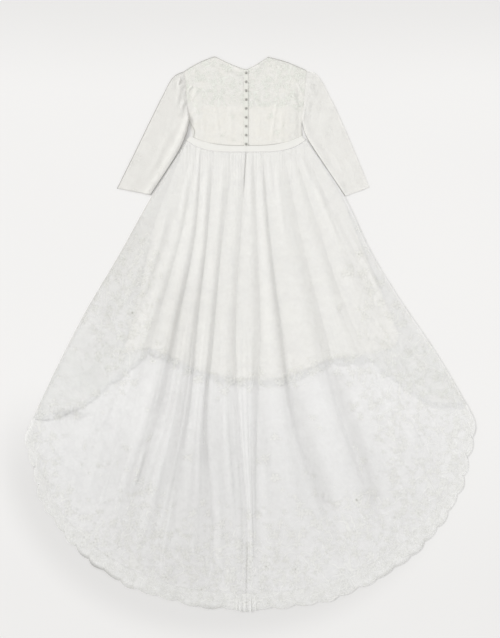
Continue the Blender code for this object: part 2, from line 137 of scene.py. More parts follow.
def ovalRing(node, radius, angle, count, oval):
    # count ovals standing round a middle: above 0 inside them, 0 on their outline, below 0 outside
    off = node("Math", angle, math.pi / count, operation="PINGPONG")
    outward = node("Math", radius, node("Math", off, operation="COSINE"), operation="MULTIPLY")
    outward = node("Math", outward, oval["centre"], operation="SUBTRACT")
    outward = node("Math", outward, oval["length"], operation="DIVIDE")
    aside = node("Math", radius, node("Math", off, operation="SINE"), operation="MULTIPLY")
    aside = node("Math", aside, oval["width"], operation="DIVIDE")
    aside = node("Math", aside, aside, operation="MULTIPLY")
    filled = node("Math", outward, outward, aside, operation="MULTIPLY_ADD")
    return node("Math", 1.0, filled, operation="SUBTRACT")


# The sprays: sizes are shares of a flower's radius, which is itself a share of the pitch
petal = {"centre": 0.58, "length": 0.40, "width": 0.33}
leaf = {"centre": 1.22, "length": 0.38, "width": 0.17}
flower = {"radius": 0.30, "unevenRadius": 0.16, "petals": 5, "leaves": 3, "leafTurn": 0.6, "randomness": 0.75}
eyeCover, seamAndShadowCover = 0.7, 0.85
netPitch = 0.0026  # the real net has about 1 mm; drawn coarser so that it shows close up
soft = {"interpolation_type": "SMOOTHSTEP"}


def flowerLayer(node, cloth, pitch, gate, seed):
    # one spray in each cell of a loose grid: petals round an open eye, drawn as a dark spot of painted
    # shadow, with leaves between them
    scaled = node("VectorMath", cloth, operation="SCALE", named={"Scale": 1 / pitch})
    moved = node("VectorMath", scaled, (seed, seed * 0.37, 0.0), operation="ADD")
    cells = node("TexVoronoi", moved, voronoi_dimensions="2D", feature="F1",
                 named={"Scale": 1.0, "Randomness": flower["randomness"]})
    local = node("VectorMath", moved, cells.outputs["Position"], operation="SUBTRACT")
    apart = node("SeparateXYZ", local).outputs
    chance = node("SeparateColor", cells.outputs["Color"]).outputs
    radius = node("VectorMath", local, operation="LENGTH").outputs["Value"]
    size = node("Math", chance[1], flower["unevenRadius"], flower["radius"], operation="MULTIPLY_ADD")
    radius = node("Math", radius, size, operation="DIVIDE")
    angle = node("Math", apart[1], apart[0], operation="ARCTAN2")
    angle = node("Math", chance[0], 6.283, angle, operation="MULTIPLY_ADD")
    turned = node("Math", angle, flower["leafTurn"], operation="ADD")
    drawn = node("Math", ovalRing(node, radius, angle, flower["petals"], petal),
                 ovalRing(node, radius, turned, flower["leaves"], leaf), operation="MAXIMUM")
    shown = node("Math", chance[2], gate, operation="LESS_THAN")
    outline = node("Math", node("Math", drawn, 0.08, operation="SUBTRACT"), operation="ABSOLUTE")
    parts = (node("MapRange", drawn, -0.05, 0.2, **soft), node("MapRange", outline, 0.22, 0.08, **soft),
             node("MapRange", radius, 0.25, 0.15, **soft))
    return [node("Math", part, shown, operation="MULTIPLY") for part in parts]


def laceMaterial(name, look):
    # Machine lace: a fine net that lets the layer below show, with denser floral work outlined in cord.
    made, tree, shader = startMaterial(name, roughness=0.8, sheen=0.1, specular=0.2)
    node = partial(addNode, tree)
    straight = node("UVMap", uv_map="clothUV")
    bend = node("TexNoise", straight, noise_dimensions="2D", named={"Scale": 24.0, "Detail": 1.0})
    bend = node("VectorMath", bend.outputs["Color"], operation="SCALE", named={"Scale": 0.012})
    cloth = node("VectorMath", straight, bend, operation="ADD")
    cloudy = node("TexNoise", straight, noise_dimensions="2D", named={"Scale": 26.0, "Detail": 3.0})
    cloudy = node("MapRange", cloudy, 0.3, 0.7, **soft)
    # the seam mark draws seams together with the painted shadow along edges and gaps
    dense, seamAndShadow, shade = [node("Attribute", attribute_name=mark).outputs["Fac"]
                          for mark in ("dense", "seamAndShadow", "shade")]
    gate = node("Math", cloudy, 0.5, 0.75, operation="MULTIPLY_ADD")
    gate = node("Math", dense, gate, operation="MULTIPLY")
    large, largeCord, largeEye = flowerLayer(node, cloth, look["sprayPitch"], gate, 3.7)
    small, smallCord, smallEye = flowerLayer(node, cloth, look["sprayPitch"] * 0.55,
                                             node("Math", gate, 0.7, operation="MULTIPLY"), 11.3)
    # stems wander between the sprays, where the lace is dense enough
    stems = node("TexNoise", cloth, noise_dimensions="2D",
                 named={"Scale": 0.6 / look["sprayPitch"], "Detail": 0.5, "Distortion": 0.4})
    stems = node("Math", node("Math", stems, 0.5, operation="SUBTRACT"), operation="ABSOLUTE")
    stems = node("Math", node("MapRange", stems, 0.026, 0.012, **soft),
                 node("MapRange", gate, 0.25, 0.5, **soft), operation="MULTIPLY")
    motif = node("Math", node("Math", large, small, operation="MAXIMUM"), stems, operation="MAXIMUM")
    cord = node("Math", largeCord, smallCord, operation="MAXIMUM")
    eye = node("Math", largeEye, node("Math", smallEye, 0.7, operation="MULTIPLY"), operation="MAXIMUM")
    net = node("TexVoronoi", cloth, voronoi_dimensions="2D", feature="DISTANCE_TO_EDGE",
               named={"Scale": 1 / netPitch, "Randomness": 0.3})
    thread = node("MapRange", net.outputs["Distance"], 0.16, 0.06, **soft)
    cover = node("Math", thread, look["thread"], look["veil"], operation="MULTIPLY_ADD")
    cover = node("Math", cloudy, look["mottle"], cover, operation="MULTIPLY_ADD")
    for part, most in ((motif, look["sprayCover"]), (cord, look["cordCover"]), (eye, eyeCover),
                       (seamAndShadow, seamAndShadowCover)):
        part = node("Math", part, most, operation="MULTIPLY")
        cover = node("Math", cover, part, operation="MAXIMUM", use_clamp=True)
    tree.links.new(cover.outputs[0], shader.inputs["Alpha"])
    colour = linearColour(look["netColour"])
    cloudy = node("Math", cloudy, 0.15, operation="MULTIPLY")
    # netShade gives the random mottle; through the shade mark it also darkens the cloth: painted shade on the
    # train and the left sleeve, a warmer tone on the front skirt and a slight tone on the bodice
    for part, over, blend in ((cloudy, "netShade", "MIX"), (motif, "sprayColour", "MIX"),
                              (cord, "cordColour", "MIX"), (eye, "eyeColour", "MIX"),
                              (seamAndShadow, "seamColour", "MIX"), (shade, "netShade", "MULTIPLY")):
        colour = node("Mix", part, data_type="RGBA", blend_type=blend,
                      named={6: colour, 7: linearColour(look[over])}).outputs[2]
    tree.links.new(colour, shader.inputs["Base Color"])
    height = node("Math", cord, 0.8, motif, operation="MULTIPLY_ADD")
    height = node("Math", thread, 0.15, height, operation="MULTIPLY_ADD")
    bump = node("Bump", named={"Strength": 0.5, "Distance": 0.0005, "Height": height})
    tree.links.new(bump.outputs[0], shader.inputs["Normal"])
    return made


def wovenMaterial(name, look):
    # Woven cloth: crossed threads, drawn coarser than real so that they show close up, and slow cloudy shade.
    made, tree, shader = startMaterial(name, look["roughness"], look["sheen"], look["specular"])
    node = partial(addNode, tree)
    place = node("TexCoord").outputs["Object"]
    cloudy = node("TexNoise", place, named={"Scale": 7.0, "Detail": 5.0, "Roughness": 0.6})
    cloudy = node("MapRange", cloudy, 0.3, 0.75, **soft)
    colour = node("Mix", cloudy, data_type="RGBA",
                  named={6: linearColour(look["colour"]), 7: linearColour(look["shade"])})
    tree.links.new(colour.outputs[2], shader.inputs["Base Color"])
    # a wave texture repeats every 0.314 of its scaled length
    wave = {"Scale": 0.314 / look["threadPitch"], "Distortion": 0.6, "Detail": 1.0}
    threads = [node("TexWave", place, bands_direction=way, named=wave).outputs["Fac"] for way in ("X", "Y")]
    woven = node("Math", *threads, operation="MULTIPLY")
    bump = node("Bump", named={"Strength": look["bump"], "Distance": 0.0003, "Height": woven})
    tree.links.new(bump.outputs[0], shader.inputs["Normal"])
    return made


# One row for each lace: sprayPitch is metres from spray to spray, thread to cordCover how much they hide
# The last two colours hold painted shade: the shadow seen in the sprays' open eyes, and the seam lines with
# the edges' shadow painted into them
laceLooks = tableRows(
    "name sprayPitch thread veil mottle sprayCover cordCover "
    "netColour netShade sprayColour cordColour eyeColour seamColour",
    # Tulle ground with machine embroidery: cool white, sheer enough to tell the layers apart
    ("embroideredTulle", 0.044, 0.12, 0.28, 0.05, 0.44, 0.48,
     "#FCFCFB", "#DFDEDD", "#F9F9F6", "#E4E4DD", "#AEAEA5", "#A9A8A2"),
    # Corded lace of the yoke: the same net, greyer green, with smaller and closer sprays
    ("cordedLace", 0.036, 0.16, 0.44, 0.07, 0.60, 0.60,
     "#FDFCF8", "#E8E4D6", "#F8F9F3", "#E3E5DB", "#ACAEA2", "#8E8C84"),
    # The sleeves' lace is the same, but warmer and nearly plain below the head
    ("softCordedLace", 0.036, 0.10, 0.46, 0.04, 0.56, 0.56,
     "#FDFCF8", "#E0DED9", "#FAF9F5", "#EAE9E3", "#BDBDB4", "#8C8A83"),
    # Scalloped galloon: embroidered closely to its lobed edge, so that the hem reads as a line
    ("galloonLace", 0.034, 0.14, 0.30, 0.06, 0.48, 0.52,
     "#FCFCFA", "#DFDFDC", "#F9F9F6", "#E1E1DA", "#AEAEA5", "#8A8983"))
trainNet, yokeLace, sleeveLace, edgeLace = [laceMaterial(look["name"], look) for look in laceLooks]
# Dull woven crepe, opaque and warm white, with a soft grain
dull = {"roughness": 0.8, "sheen": 0.1, "specular": 0.2, "bump": 0.2}
crepe = wovenMaterial("ivoryCrepe", {**dull, "colour": "#E4E2DB", "shade": "#E1DFD7", "threadPitch": 0.0012})
# Lighter, thinner crepe of the button stand
standCrepe = wovenMaterial("standCrepe", {**dull, "colour": "#E1E1DA", "shade": "#DCDCD4",
                                          "threadPitch": 0.0010})
# Satin ribbon of the waistband, woven smooth, so it catches the light a little more
satin = wovenMaterial("ivorySatin", {"roughness": 0.62, "sheen": 0.05, "specular": 0.2, "colour": "#E5E4DF",
                                     "shade": "#E1E0DA", "threadPitch": 0.0009, "bump": 0.12})
# Covered buttons in satin coloured dark grey, so that they tell as dark points down the back: painted shade
# on and round each small button
buttonSatin = wovenMaterial("coveredButtonSatin", {"roughness": 0.45, "sheen": 0.05, "specular": 0.5,
                                                   "colour": "#A9A8A2", "shade": "#9C9B94",
                                                   "threadPitch": 0.0008, "bump": 0.3})
print("materials made")


# Making pieces and putting them in place of the frame's nodes

def finishShape(name, shape, look):
    mesh = bpy.data.meshes.new(name)
    shape.to_mesh(mesh)
    shape.free()
    mesh.materials.append(look)
    piece = bpy.data.objects.new(name, mesh)
    scene.collection.objects.link(piece)
    return piece


def clothPiece(name, place, columns, rows, look, thickness=shellThickness, marks=None, closed=False):
    # place(column, row) gives the middle of the cloth in the drawing; marks(column, row) its floral density,
    # its seams with the edges' painted shadow, and its shade: painted shade on the train and the left sleeve,
    # a tone elsewhere
    shape = bmesh.new()
    bmesh.ops.create_grid(shape, x_segments=len(columns) - 1, y_segments=len(rows) - 1, size=0.5)
    uvLayer = shape.loops.layers.uv.new("clothUV")
    denseLayer = shape.verts.layers.float.new("dense")
    seamAndShadowLayer = shape.verts.layers.float.new("seamAndShadow")
    shadeLayer = shape.verts.layers.float.new("shade")
    flatPlace = {}
    for vert in shape.verts:
        column = columns[round((vert.co.x + 0.5) * (len(columns) - 1))]
        row = rows[round((vert.co.y + 0.5) * (len(rows) - 1))]
        x, y, z, *cloth = place(column, row)
        vert.co = (x + centreBack, y + waistLine, z)
        flatPlace[vert.index] = cloth if cloth else (x, y)
        vert[denseLayer], vert[seamAndShadowLayer], *shadeMark = marks(column, row) if marks else (0.5, 0.0)
        vert[shadeLayer] = shadeMark[0] if shadeMark else 0.0
    for face in shape.faces:
        face.smooth = True
        for loop in face.loops:
            loop[uvLayer].uv = flatPlace[loop.vert.index]
    for edge in shape.edges:
        edge.smooth = not edge.is_boundary
    if closed:
        bmesh.ops.remove_doubles(shape, verts=shape.verts, dist=0.00001)
    piece = finishShape(name, shape, look)
    shell = piece.modifiers.new("shell", "SOLIDIFY")
    shell.thickness = thickness
    shell.offset = 0.0
    return piece


def declare(piece, nodes):
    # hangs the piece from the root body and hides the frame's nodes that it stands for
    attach(piece, "root")
    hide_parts(*nodes)


# The skirt's form: one row for each line from the waist to the hem. x0 to x8 are its distances from the
# centre back at 0 to 80 percent of its length; hem is where it meets the hem, from a corner (0) to the
# centre back (1). A pleat's crest stands just left of its line and has run out at fade.
skirtForm = {
    "lines": tableRows(
        "x0 x2 x4 x6 x8 hem height fade keep frontHem liningHem",
        (-0.236, -0.381, -0.510, -0.646, -0.764, 0.000, 0.000, 1.0, 0.4, 0.965, 0.560),
        (-0.213, -0.290, -0.402, -0.524, -0.640, 0.349, 0.004, 0.60, 0.4, 0.630, 0.545),
        (-0.194, -0.254, -0.344, -0.436, -0.524, 0.500, 0.006, 0.70, 0.5, 0.503, 0.488),
        (-0.178, -0.202, -0.268, -0.332, -0.440, 0.594, 0.014, 0.80, 0.55, 0.504, 0.490),
        (-0.128, -0.156, -0.196, -0.232, -0.296, 0.750, 0.014, 0.84, 0.70, 0.501, 0.488),
        (-0.048, -0.096, -0.128, -0.156, -0.132, 0.918, 0.012, 1.00, 0.35, 0.500, 0.488),
        (0.000, -0.022, -0.040, -0.024, 0.004, 1.000, 0.009, 1.20, 0.40, 0.512, 0.500),
        (0.030, 0.046, 0.058, 0.046, 0.042, 0.963, 0.010, 0.95, 0.40, 0.511, 0.499),
        (0.066, 0.096, 0.142, 0.196, 0.316, 0.678, 0.015, 0.96, 0.95, 0.532, 0.519),
        (0.150, 0.216, 0.298, 0.384, 0.496, 0.523, 0.016, 0.94, 0.95, 0.524, 0.510),
        (0.186, 0.280, 0.376, 0.504, 0.660, 0.302, 0.009, 0.62, 0.50, 0.594, 0.570),
        (0.218, 0.342, 0.456, 0.588, 0.730, 0.170, 0.006, 0.60, 0.40, 0.800, 0.620),
        (0.240, 0.389, 0.496, 0.632, 0.780, 0.000, 0.000, 1.0, 0.4, 0.965, 0.620)),
    "stations": ["x0", "x2", "x4", "x6", "x8"],
    "crest": 0.64, "foot": 1.0,  # where between two lines a pleat stands highest, and where it ends
    "lean": 0.2, "fullness": 0.78,
    "riseEnd": 0.10, "openStart": 0.45,
    "hemLow": -1.836, "hemRound": 2.15, "laceStart": 0.966,
    "left": {"halfWidth": 0.872, "cornerY": -1.116},
    "right": {"halfWidth": 0.908, "cornerY": -1.060},
    "scallops": 16, "scallopDepth": 0.014, "tailDepth": 0.012, "tailReach": 0.03,
    "hemRest": 0.02, "hemRamp": 0.06, "nearby": 0.27, "sideRest": 0.48, "sideRamp": 0.34,
}
seams = {"skirtLow": -0.008, "bodiceLow": 0.016, "rise": 0.048, "halfWidth": 0.238}
centreLine = 6
lastLine = len(skirtForm["lines"]) - 1


def skirtSeam(x):
    return seams["skirtLow"] + seams["rise"] * (abs(x) / seams["halfWidth"]) ** 4


def bodiceSeam(x):
    return seams["bodiceLow"] + seams["rise"] * (abs(x) / seams["halfWidth"]) ** 3


def lineValue(name, line):
    start = min(int(line), lastLine - 1)
    return mix(skirtForm["lines"][start][name], skirtForm["lines"][start + 1][name], line - start)


def hemPoint(line):
    side = skirtForm["left"] if line <= centreLine else skirtForm["right"]
    turn = lineValue("hem", line) * math.pi / 2
    sign = -1 if line <= centreLine else 1
    power = 2 / skirtForm["hemRound"]
    x = sign * side["halfWidth"] * max(math.cos(turn), 0.0) ** power
    return x, mix(side["cornerY"], skirtForm["hemLow"], max(math.sin(turn), 0.0) ** power)


def skirtPlan(line, share):
    hemX, hemY = hemPoint(line)
    stations = [lineValue(name, line) for name in skirtForm["stations"]] + [hemX]
    top = skirtSeam(stations[0]) - seamGap
    return throughStations(stations, share), mix(top, hemY, share)


# How far the opaque underskirt reaches past its outermost pleats, as a share of the way to the side seam, at
# 0, 20, 40, 60, 80 and 100 percent of its length
liningReach = {"Left": [0.92, 0.66, 0.58, 0.36, 0.14, 0.0], "Right": [0.92, 0.88, 0.80, 0.70, 0.55, 0.30]}


def stillOver(name, line, share):
    nearby = [min(max(line + step, 0), lastLine) for step in (-skirtForm["nearby"], 0, skirtForm["nearby"])]
    hem = max(lineValue(name, place) for place in nearby)
    return 1.0 - smoothStep((share - hem - skirtForm["hemRest"]) / skirtForm["hemRamp"])


def liningPast(line, share):
    reach = liningReach["Left" if line < centreLine else "Right"]
    return throughStations(reach, min(share / lineValue("liningHem", line), 1.0))


def overLining(line, share):
    edge = min(line, lastLine - line) + liningPast(line, share)
    risen = smoothStep((edge - skirtForm["sideRest"]) / skirtForm["sideRamp"])
    return stillOver("liningHem", line, share) * risen


def pleatRise(line, share):
    # height of the pleats alone, made uneven along each pleat
    start = min(int(line + 0.000001), lastLine - 1)
    across = min(max(line - start, 0.0), 1.0)
    row = skirtForm["lines"][start + 1]
    crest = skirtForm["crest"] + 0.03 * wander(share * 3.0, start * 5.1, 2)
    if across < crest:
        wave = smoothStep(across / crest) ** 1.25
    else:
        down = min((across - crest) / (skirtForm["foot"] - crest), 1.0)
        wave = 1.0 - mix(smoothStep(down), down ** 3, 0.45)
    grown = mix(0.10, 0.45, smoothStep(share / skirtForm["riseEnd"])) + 0.55 * smoothStep((share - 0.1) / 0.3)
    opened = mix(1.0, row["keep"],
                 smoothStep((share - skirtForm["openStart"]) / (1.0 - skirtForm["openStart"])))
    faded = 1.0 - smoothStep((share - row["fade"] + 0.25) / 0.25)
    uneven = 1.0 + 0.22 * wander(share * 4.0, start * 3.3, 1)
    return skirtForm["fullness"] * row["height"] * wave * grown * opened * faded * uneven


def ridgeOn(row, across, along, acrossKey, alongKey):
    # soft ridge from one end of a crease to the other
    acrossLength = row["to" + acrossKey[0].upper() + acrossKey[1:]] - row[acrossKey]
    alongLength = row["to" + alongKey[0].upper() + alongKey[1:]] - row[alongKey]
    length = math.hypot(acrossLength, alongLength)
    share = ((across - row[acrossKey]) * acrossLength + (along - row[alongKey]) * alongLength) / length ** 2
    off = ((across - row[acrossKey]) * alongLength - (along - row[alongKey]) * acrossLength) / length
    ends = smoothStep(share / 0.25) * smoothStep((1 - share) / 0.35)
    return row["height"] * hump(off, row["width"]) * ends


# Creases, in metres from the centre back and the waist: a soft ridge from one place to the
# next, or a trough where its height is below zero
skirtCreases = tableRows(
    "x y toX toY width height",
    (-0.232, -0.09, -0.262, -0.28, 0.011, 0.0022),
    (-0.205, -0.05, -0.228, -0.22, 0.008, 0.0018),
    (-0.150, -0.03, -0.176, -0.36, 0.009, 0.0016),
    (-0.085, -0.02, -0.120, -0.40, 0.009, 0.0014),
    (0.014, -0.02, 0.020, -0.30, 0.008, 0.0016),
    (0.090, -0.02, 0.106, -0.20, 0.008, 0.0020),
    (0.118, -0.03, 0.160, -0.42, 0.010, 0.0018),
    (0.214, -0.01, 0.262, -0.13, 0.008, 0.0020),
    (0.270, -0.12, 0.390, -0.42, 0.012, 0.0032),
    (0.330, -0.22, 0.470, -0.52, 0.011, 0.0030),
    (0.400, -0.30, 0.560, -0.62, 0.010, 0.0034),
    (-0.300, -0.22, -0.420, -0.62, 0.013, 0.0030),
    (-0.360, -0.30, -0.500, -0.66, 0.012, 0.0022),
    (-0.800, -1.044, -0.590, -1.056, 0.007, 0.0085),
    (-0.790, -1.074, -0.640, -1.070, 0.006, 0.0040),
    (-0.400, -1.18, -0.450, -1.36, 0.010, 0.0045),
    (-0.330, -1.20, -0.380, -1.50, 0.014, 0.0030),
    (-0.210, -1.02, -0.240, -1.52, 0.014, 0.0028),
    (-0.080, -0.98, -0.060, -1.50, 0.012, 0.0028),
    (0.060, -1.06, 0.090, -1.48, 0.012, 0.0026),
    (0.130, -1.00, 0.200, -1.44, 0.014, 0.0022),
    (0.400, -1.02, 0.520, -1.40, 0.016, 0.0028),
    (0.560, -0.98, 0.640, -1.34, 0.014, 0.0020),
    (-0.560, -1.12, -0.640, -1.42, 0.018, 0.0018))


def creaseRise(x, y):
    return sum(ridgeOn(crease, x, y, "x", "y") for crease in skirtCreases)


# Small forms of the net, in metres high, and the shares of the way to the hem where they start and end
gathers = {"pitch": 0.0115, "uneven": 0.8, "height": 0.0005, "end": 0.14}
ripples = {"slow": 0.0034, "fine": 0.0014, "start": 0.42, "ramp": 0.3, "hem": 0.0022, "hemStart": 0.86}
streaks = {"fine": 0.0032, "broad": 0.0066, "start": 0.30, "ramp": 0.25, "end": 0.84, "endRamp": 0.12}


def gatherRise(x, share):
    # fine gathers where the net is sewn into the waistband
    turns = x / gathers["pitch"] + gathers["uneven"] * wander(x * 30, 0.0, 5)
    wave = 0.5 + 0.5 * math.cos(2 * math.pi * turns)
    return gathers["height"] * wave * (1 - smoothStep(share / gathers["end"]))


def rippleRise(x, y, share):
    # slow unevenness of the train on the floor, and the lightly ruffled hem
    slow = 0.5 + 0.5 * wander(x * 9.0, y * 5.0, 3)
    fine = 0.5 + 0.5 * wander(x * 26.0, y * 14.0, 4)
    spreading = smoothStep((share - ripples["start"]) / ripples["ramp"])
    hem = ripples["hem"] * smoothStep((share - ripples["hemStart"]) / 0.12)
    return spreading * (ripples["slow"] * slow ** 2 + ripples["fine"] * fine ** 2) + hem * fine


def streakRise(line, share):
    # many small folds that run down the train between the pleats, fewest at its sides
    edge = min(line, lastLine - line)
    fine = streaks["fine"] * max(0.0, wander(line * 8.0, share * 2.2, 21))
    broad = streaks["broad"] * max(0.0, wander(line * 2.6, share * 1.6, 22))
    down = smoothStep((share - streaks["start"]) / streaks["ramp"])
    down *= 1 - smoothStep((share - streaks["end"]) / streaks["endRamp"])
    middle = 0.4 + 0.8 * smoothStep((edge - 1.5) / 2)
    return (fine * middle + broad) * down * smoothStep(edge - 0.4)


def backSkirt(line, share):
    x, y = skirtPlan(line, share)
    rise = pleatRise(line, share) + streakRise(line, share)
    over = layer * stillOver("frontHem", line, share) + 2 * layer * overLining(line, share)
    height = over + rise + wall / 2 + creaseRise(x, y) + gatherRise(x, share) + rippleRise(x, y, share)
    return x + skirtForm["lean"] * rise, y, height


# How dense the net's floral work is, and the shares of the way to the hem where it starts
floral = {"hemStart": 0.72, "sideStart": 0.22, "leftSideEnd": 0.54, "rightSide": 0.45, "right": 0.6,
          "rightStart": 0.40, "sparse": 0.03, "sparseStart": 0.45, "leftBorder": 0.7, "rightBorder": 0.95,
          "borderUp": 0.012, "borderWidth": 0.022, "ramp": 0.2, "most": 0.9}


def skirtDense(line, share):
    # close at the hem, at the upper sides and along the front's hem, all but none in the middle of the skirt
    edge = min(line, lastLine - line)
    late = 0.10 * smoothStep((2.6 - line) / 0.8)
    hem = smoothStep((share - floral["hemStart"] - late) / floral["ramp"])
    side = smoothStep((2.2 - edge) / 1.2) * smoothStep((share - floral["sideStart"]) / floral["ramp"])
    if line < centreLine:
        side *= 1 - 0.9 * smoothStep((share - floral["leftSideEnd"]) / 0.12)
    else:
        side *= floral["rightSide"]
    right = floral["right"] * smoothStep((line - 8.7) / 1.2)
    right *= smoothStep((share - floral["rightStart"]) / floral["ramp"])
    sparse = floral["sparse"] * smoothStep((share - floral["sparseStart"]) / floral["ramp"])
    border = mix(floral["leftBorder"], floral["rightBorder"], smoothStep((line - 8) / 2))
    border *= hump(share - lineValue("frontHem", line) + floral["borderUp"], floral["borderWidth"])
    cloud = 0.5 + 0.5 * wander(line * 1.3, share * 9.0, 6)
    return min(sparse + floral["most"] * max(hem, side, right, border) * (0.55 + 0.6 * cloud), 1.0)


# Painted shade on the net, along the folds and broadly over the lower skirt, in metres from the centre back
# and the
# waist: soft strokes from one place to the next, as wide as said on each side
paintedShadeStrokes = tableRows(
    "x y toX toY width shade",
    (-0.05, -0.60, -0.05, -1.70, 0.36, 0.14),
    (-0.28, -0.60, -0.30, -1.00, 0.10, 0.26),
    (-0.20, -1.20, -0.26, -1.70, 0.16, 0.20),
    (-0.42, -0.30, -0.62, -0.90, 0.05, 0.14),
    (-0.46, -1.25, -0.50, -1.60, 0.12, 0.16),
    (-0.35, -0.96, -0.44, -1.36, 0.024, 0.14),
    (-0.26, -0.96, -0.30, -1.32, 0.022, 0.16),
    (-0.155, -0.94, -0.165, -1.24, 0.020, 0.20),
    (0.05, -0.96, 0.06, -1.24, 0.020, 0.20),
    (0.19, -0.96, 0.32, -1.40, 0.030, 0.30),
    (0.37, -0.92, 0.52, -1.38, 0.028, 0.30))


# the painted shade at a place: the strokes' shade added up
def paintedSkirtShade(x, y):
    total = 0.0
    for stroke in paintedShadeStrokes:
        alongX, alongY = stroke["toX"] - stroke["x"], stroke["toY"] - stroke["y"]
        share = ((x - stroke["x"]) * alongX + (y - stroke["y"]) * alongY) / (alongX ** 2 + alongY ** 2)
        share = min(max(share, 0.0), 1.0)
        off = math.dist((x, y), (stroke["x"] + share * alongX, stroke["y"] + share * alongY))
        total += stroke["shade"] * hump(off, stroke["width"])
    return total


halves = {
    "Left": {"first": 0, "last": centreLine, "gap": -1, "node": "back_skirt_left", "lace": "train_lace_left"},
    "Right": {"first": centreLine, "last": lastLine, "gap": 1, "node": "back_skirt_right",
              "lace": "train_lace_right"},
}
skirtGrid = {"perPanel": 26, "rows": 190}


def panelPlaces(first, last, perPanel):
    # columns of the net, closer together where a pleat drops
    places = []
    for line in range(first, last):
        for step in range(perPanel):
            share = step / perPanel
            places.append(line + (share / 0.6 * 0.78 if share < 0.6 else 0.78 + (share - 0.6) / 0.4 * 0.22))
    return places + [last]


for sideName, half in halves.items():
    def place(line, share):
        x, y, z = backSkirt(line, share)
        if line == centreLine:
            x += half["gap"] * seamGap / 2
        planX, planY = skirtPlan(line, share)
        return x, y, z, planX + 0.03 * int(line + 0.07), planY

    def marks(line, share):
        seamed = hump(line - centreLine, 0.028)
        opening = 1 - smoothStep((share - 0.06) / 0.04)
        seamAndShadow = seamed * max(opening, 0.35 * smoothStep((share - 0.84) / 0.03))
        # along the left side a thin line of painted edge shadow; the third mark is the painted shade
        seamAndShadow = max(seamAndShadow, 0.22 * (1 - smoothStep(line / 0.03)))
        return skirtDense(line, share), seamAndShadow, paintedSkirtShade(*skirtPlan(line, share))

    columns = panelPlaces(half["first"], half["last"], skirtGrid["perPanel"])
    rows = [skirtForm["laceStart"] * share ** 1.1 for share in evenly(0, 1, skirtGrid["rows"])]
    net = clothPiece("trainNet" + sideName, place, columns, rows, trainNet, marks=marks)
    declare(net, [half["node"]])
print("train net made")

# Scalloped edging round the train: each lobe is edged with small picots
edging = {"perLine": 84, "rows": 9, "picots": 7, "picotDepth": 0.0022, "overlap": -0.0002,
          "uneven": 0.012, "ruffle": 0.0055, "ruffleWaves": 2.5, "ruffleShare": 0.028}


def outwardAt(line):
    turn = lineValue("hem", line) * math.pi / 2
    sign = -1 if line <= centreLine else 1
    return sign * math.cos(turn), -math.sin(turn)


def scallopReach(line):
    share = lineValue("hem", line)
    arc = abs(math.sin(math.pi * skirtForm["scallops"] * share)) ** 0.7
    tail = skirtForm["tailDepth"] * smoothStep((share - 1 + skirtForm["tailReach"]) / skirtForm["tailReach"])
    picot = abs(math.sin(math.pi * skirtForm["scallops"] * edging["picots"] * share))
    uneven = 0.75 + 0.6 * wander(share * 9, line / lastLine * 3, 31)
    slow = edging["uneven"] * wander(share * 11, line / lastLine * 3, 33)
    return (skirtForm["scallopDepth"] * (arc - 0.5) + edging["picotDepth"] * picot) * uneven + slow + tail


for sideName, half in halves.items():
    def place(line, share):
        inner = skirtForm["laceStart"] - edging["overlap"]
        x, y, z = backSkirt(line, mix(inner, 1.0, share))
        outX, outY = outwardAt(line)
        reach = scallopReach(line) * share ** 1.5
        if line == centreLine:
            x += half["gap"] * seamGap / 2
            outX = 0.0
        # the last scallop is gathered into a small ruffle
        toTail = 1 - lineValue("hem", line)
        gathered = smoothStep((edging["ruffleShare"] - toTail) / 0.012) * smoothStep(share)
        turns = edging["ruffleWaves"] * toTail / edging["ruffleShare"] + 0.35 * wander(line * 9, share, 34)
        wave = (0.5 + 0.5 * math.cos(2 * math.pi * turns)) * (0.7 + 0.5 * wander(line * 5, 0.0, 35))
        z += edging["ruffle"] * gathered * wave
        reach += 0.006 * gathered * wave
        return x + outX * reach, y + outY * reach, z, lineValue("hem", line) * 1.3, share * 0.07

    def marks(line, share):
        # the corded edge is drawn dark with the shadow of the lifted edge painted in: it shows most at the
        # lower left, where the edge lifts off the floor; the net's painted shade runs on into the edging
        turn = lineValue("hem", line)
        strength = 0.10 + 0.55 * hump(turn - 0.52, 0.14) + 0.25 * smoothStep((turn - 0.8) / 0.1)
        strength *= 0.8 + 0.9 * wander(turn * 14, line, 30) if line < centreLine else 0.5
        return 0.9, max(strength, 0.0) * smoothStep((share - 0.84) / 0.1), paintedSkirtShade(*skirtPlan(line, 1.0))

    columns = evenly(half["first"], half["last"], (half["last"] - half["first"]) * edging["perLine"])
    lace = clothPiece("trainEdging" + sideName, place, columns, evenly(0, 1, edging["rows"]), edgeLace,
                      marks=marks)
    declare(lace, [half["lace"]])
print("train edging made")

# Front of the skirt, flat under everything, with its own shorter scalloped hem
frontSkirt = {"rows": 60, "perPanel": 10, "laceDepth": 0.028, "scallops": 2}


def flatSkirt(level, line, share):
    x, y = skirtPlan(line, share)
    return x, y, level + wall / 2


def frontLaceShare(line):
    return frontSkirt["laceDepth"] / math.dist(skirtPlan(line, 0.0), skirtPlan(line, 1.0))


def frontPlace(line, share):
    hem = lineValue("frontHem", line) - frontLaceShare(line)
    return flatSkirt(0.0, line, share * hem)


def frontMarks(line, share):
    # a deep border of floral work above the front's hem, deepest at the sides
    length = lineValue("frontHem", line) * math.dist(skirtPlan(line, 0.0), skirtPlan(line, 1.0))
    deep = mix(0.24, 0.09, smoothStep(min(line, lastLine - line) / 4))
    warm = 0.35 * (1 - smoothStep((share - 0.30) / 0.35)) if line < centreLine else 0.0
    dense = 0.12 + 0.88 * (1 - smoothStep(((1 - share) * length - deep) / 0.08))
    # along the left side a thin line of painted edge shadow
    return dense, 0.12 if line < 0.01 else 0.0, warm


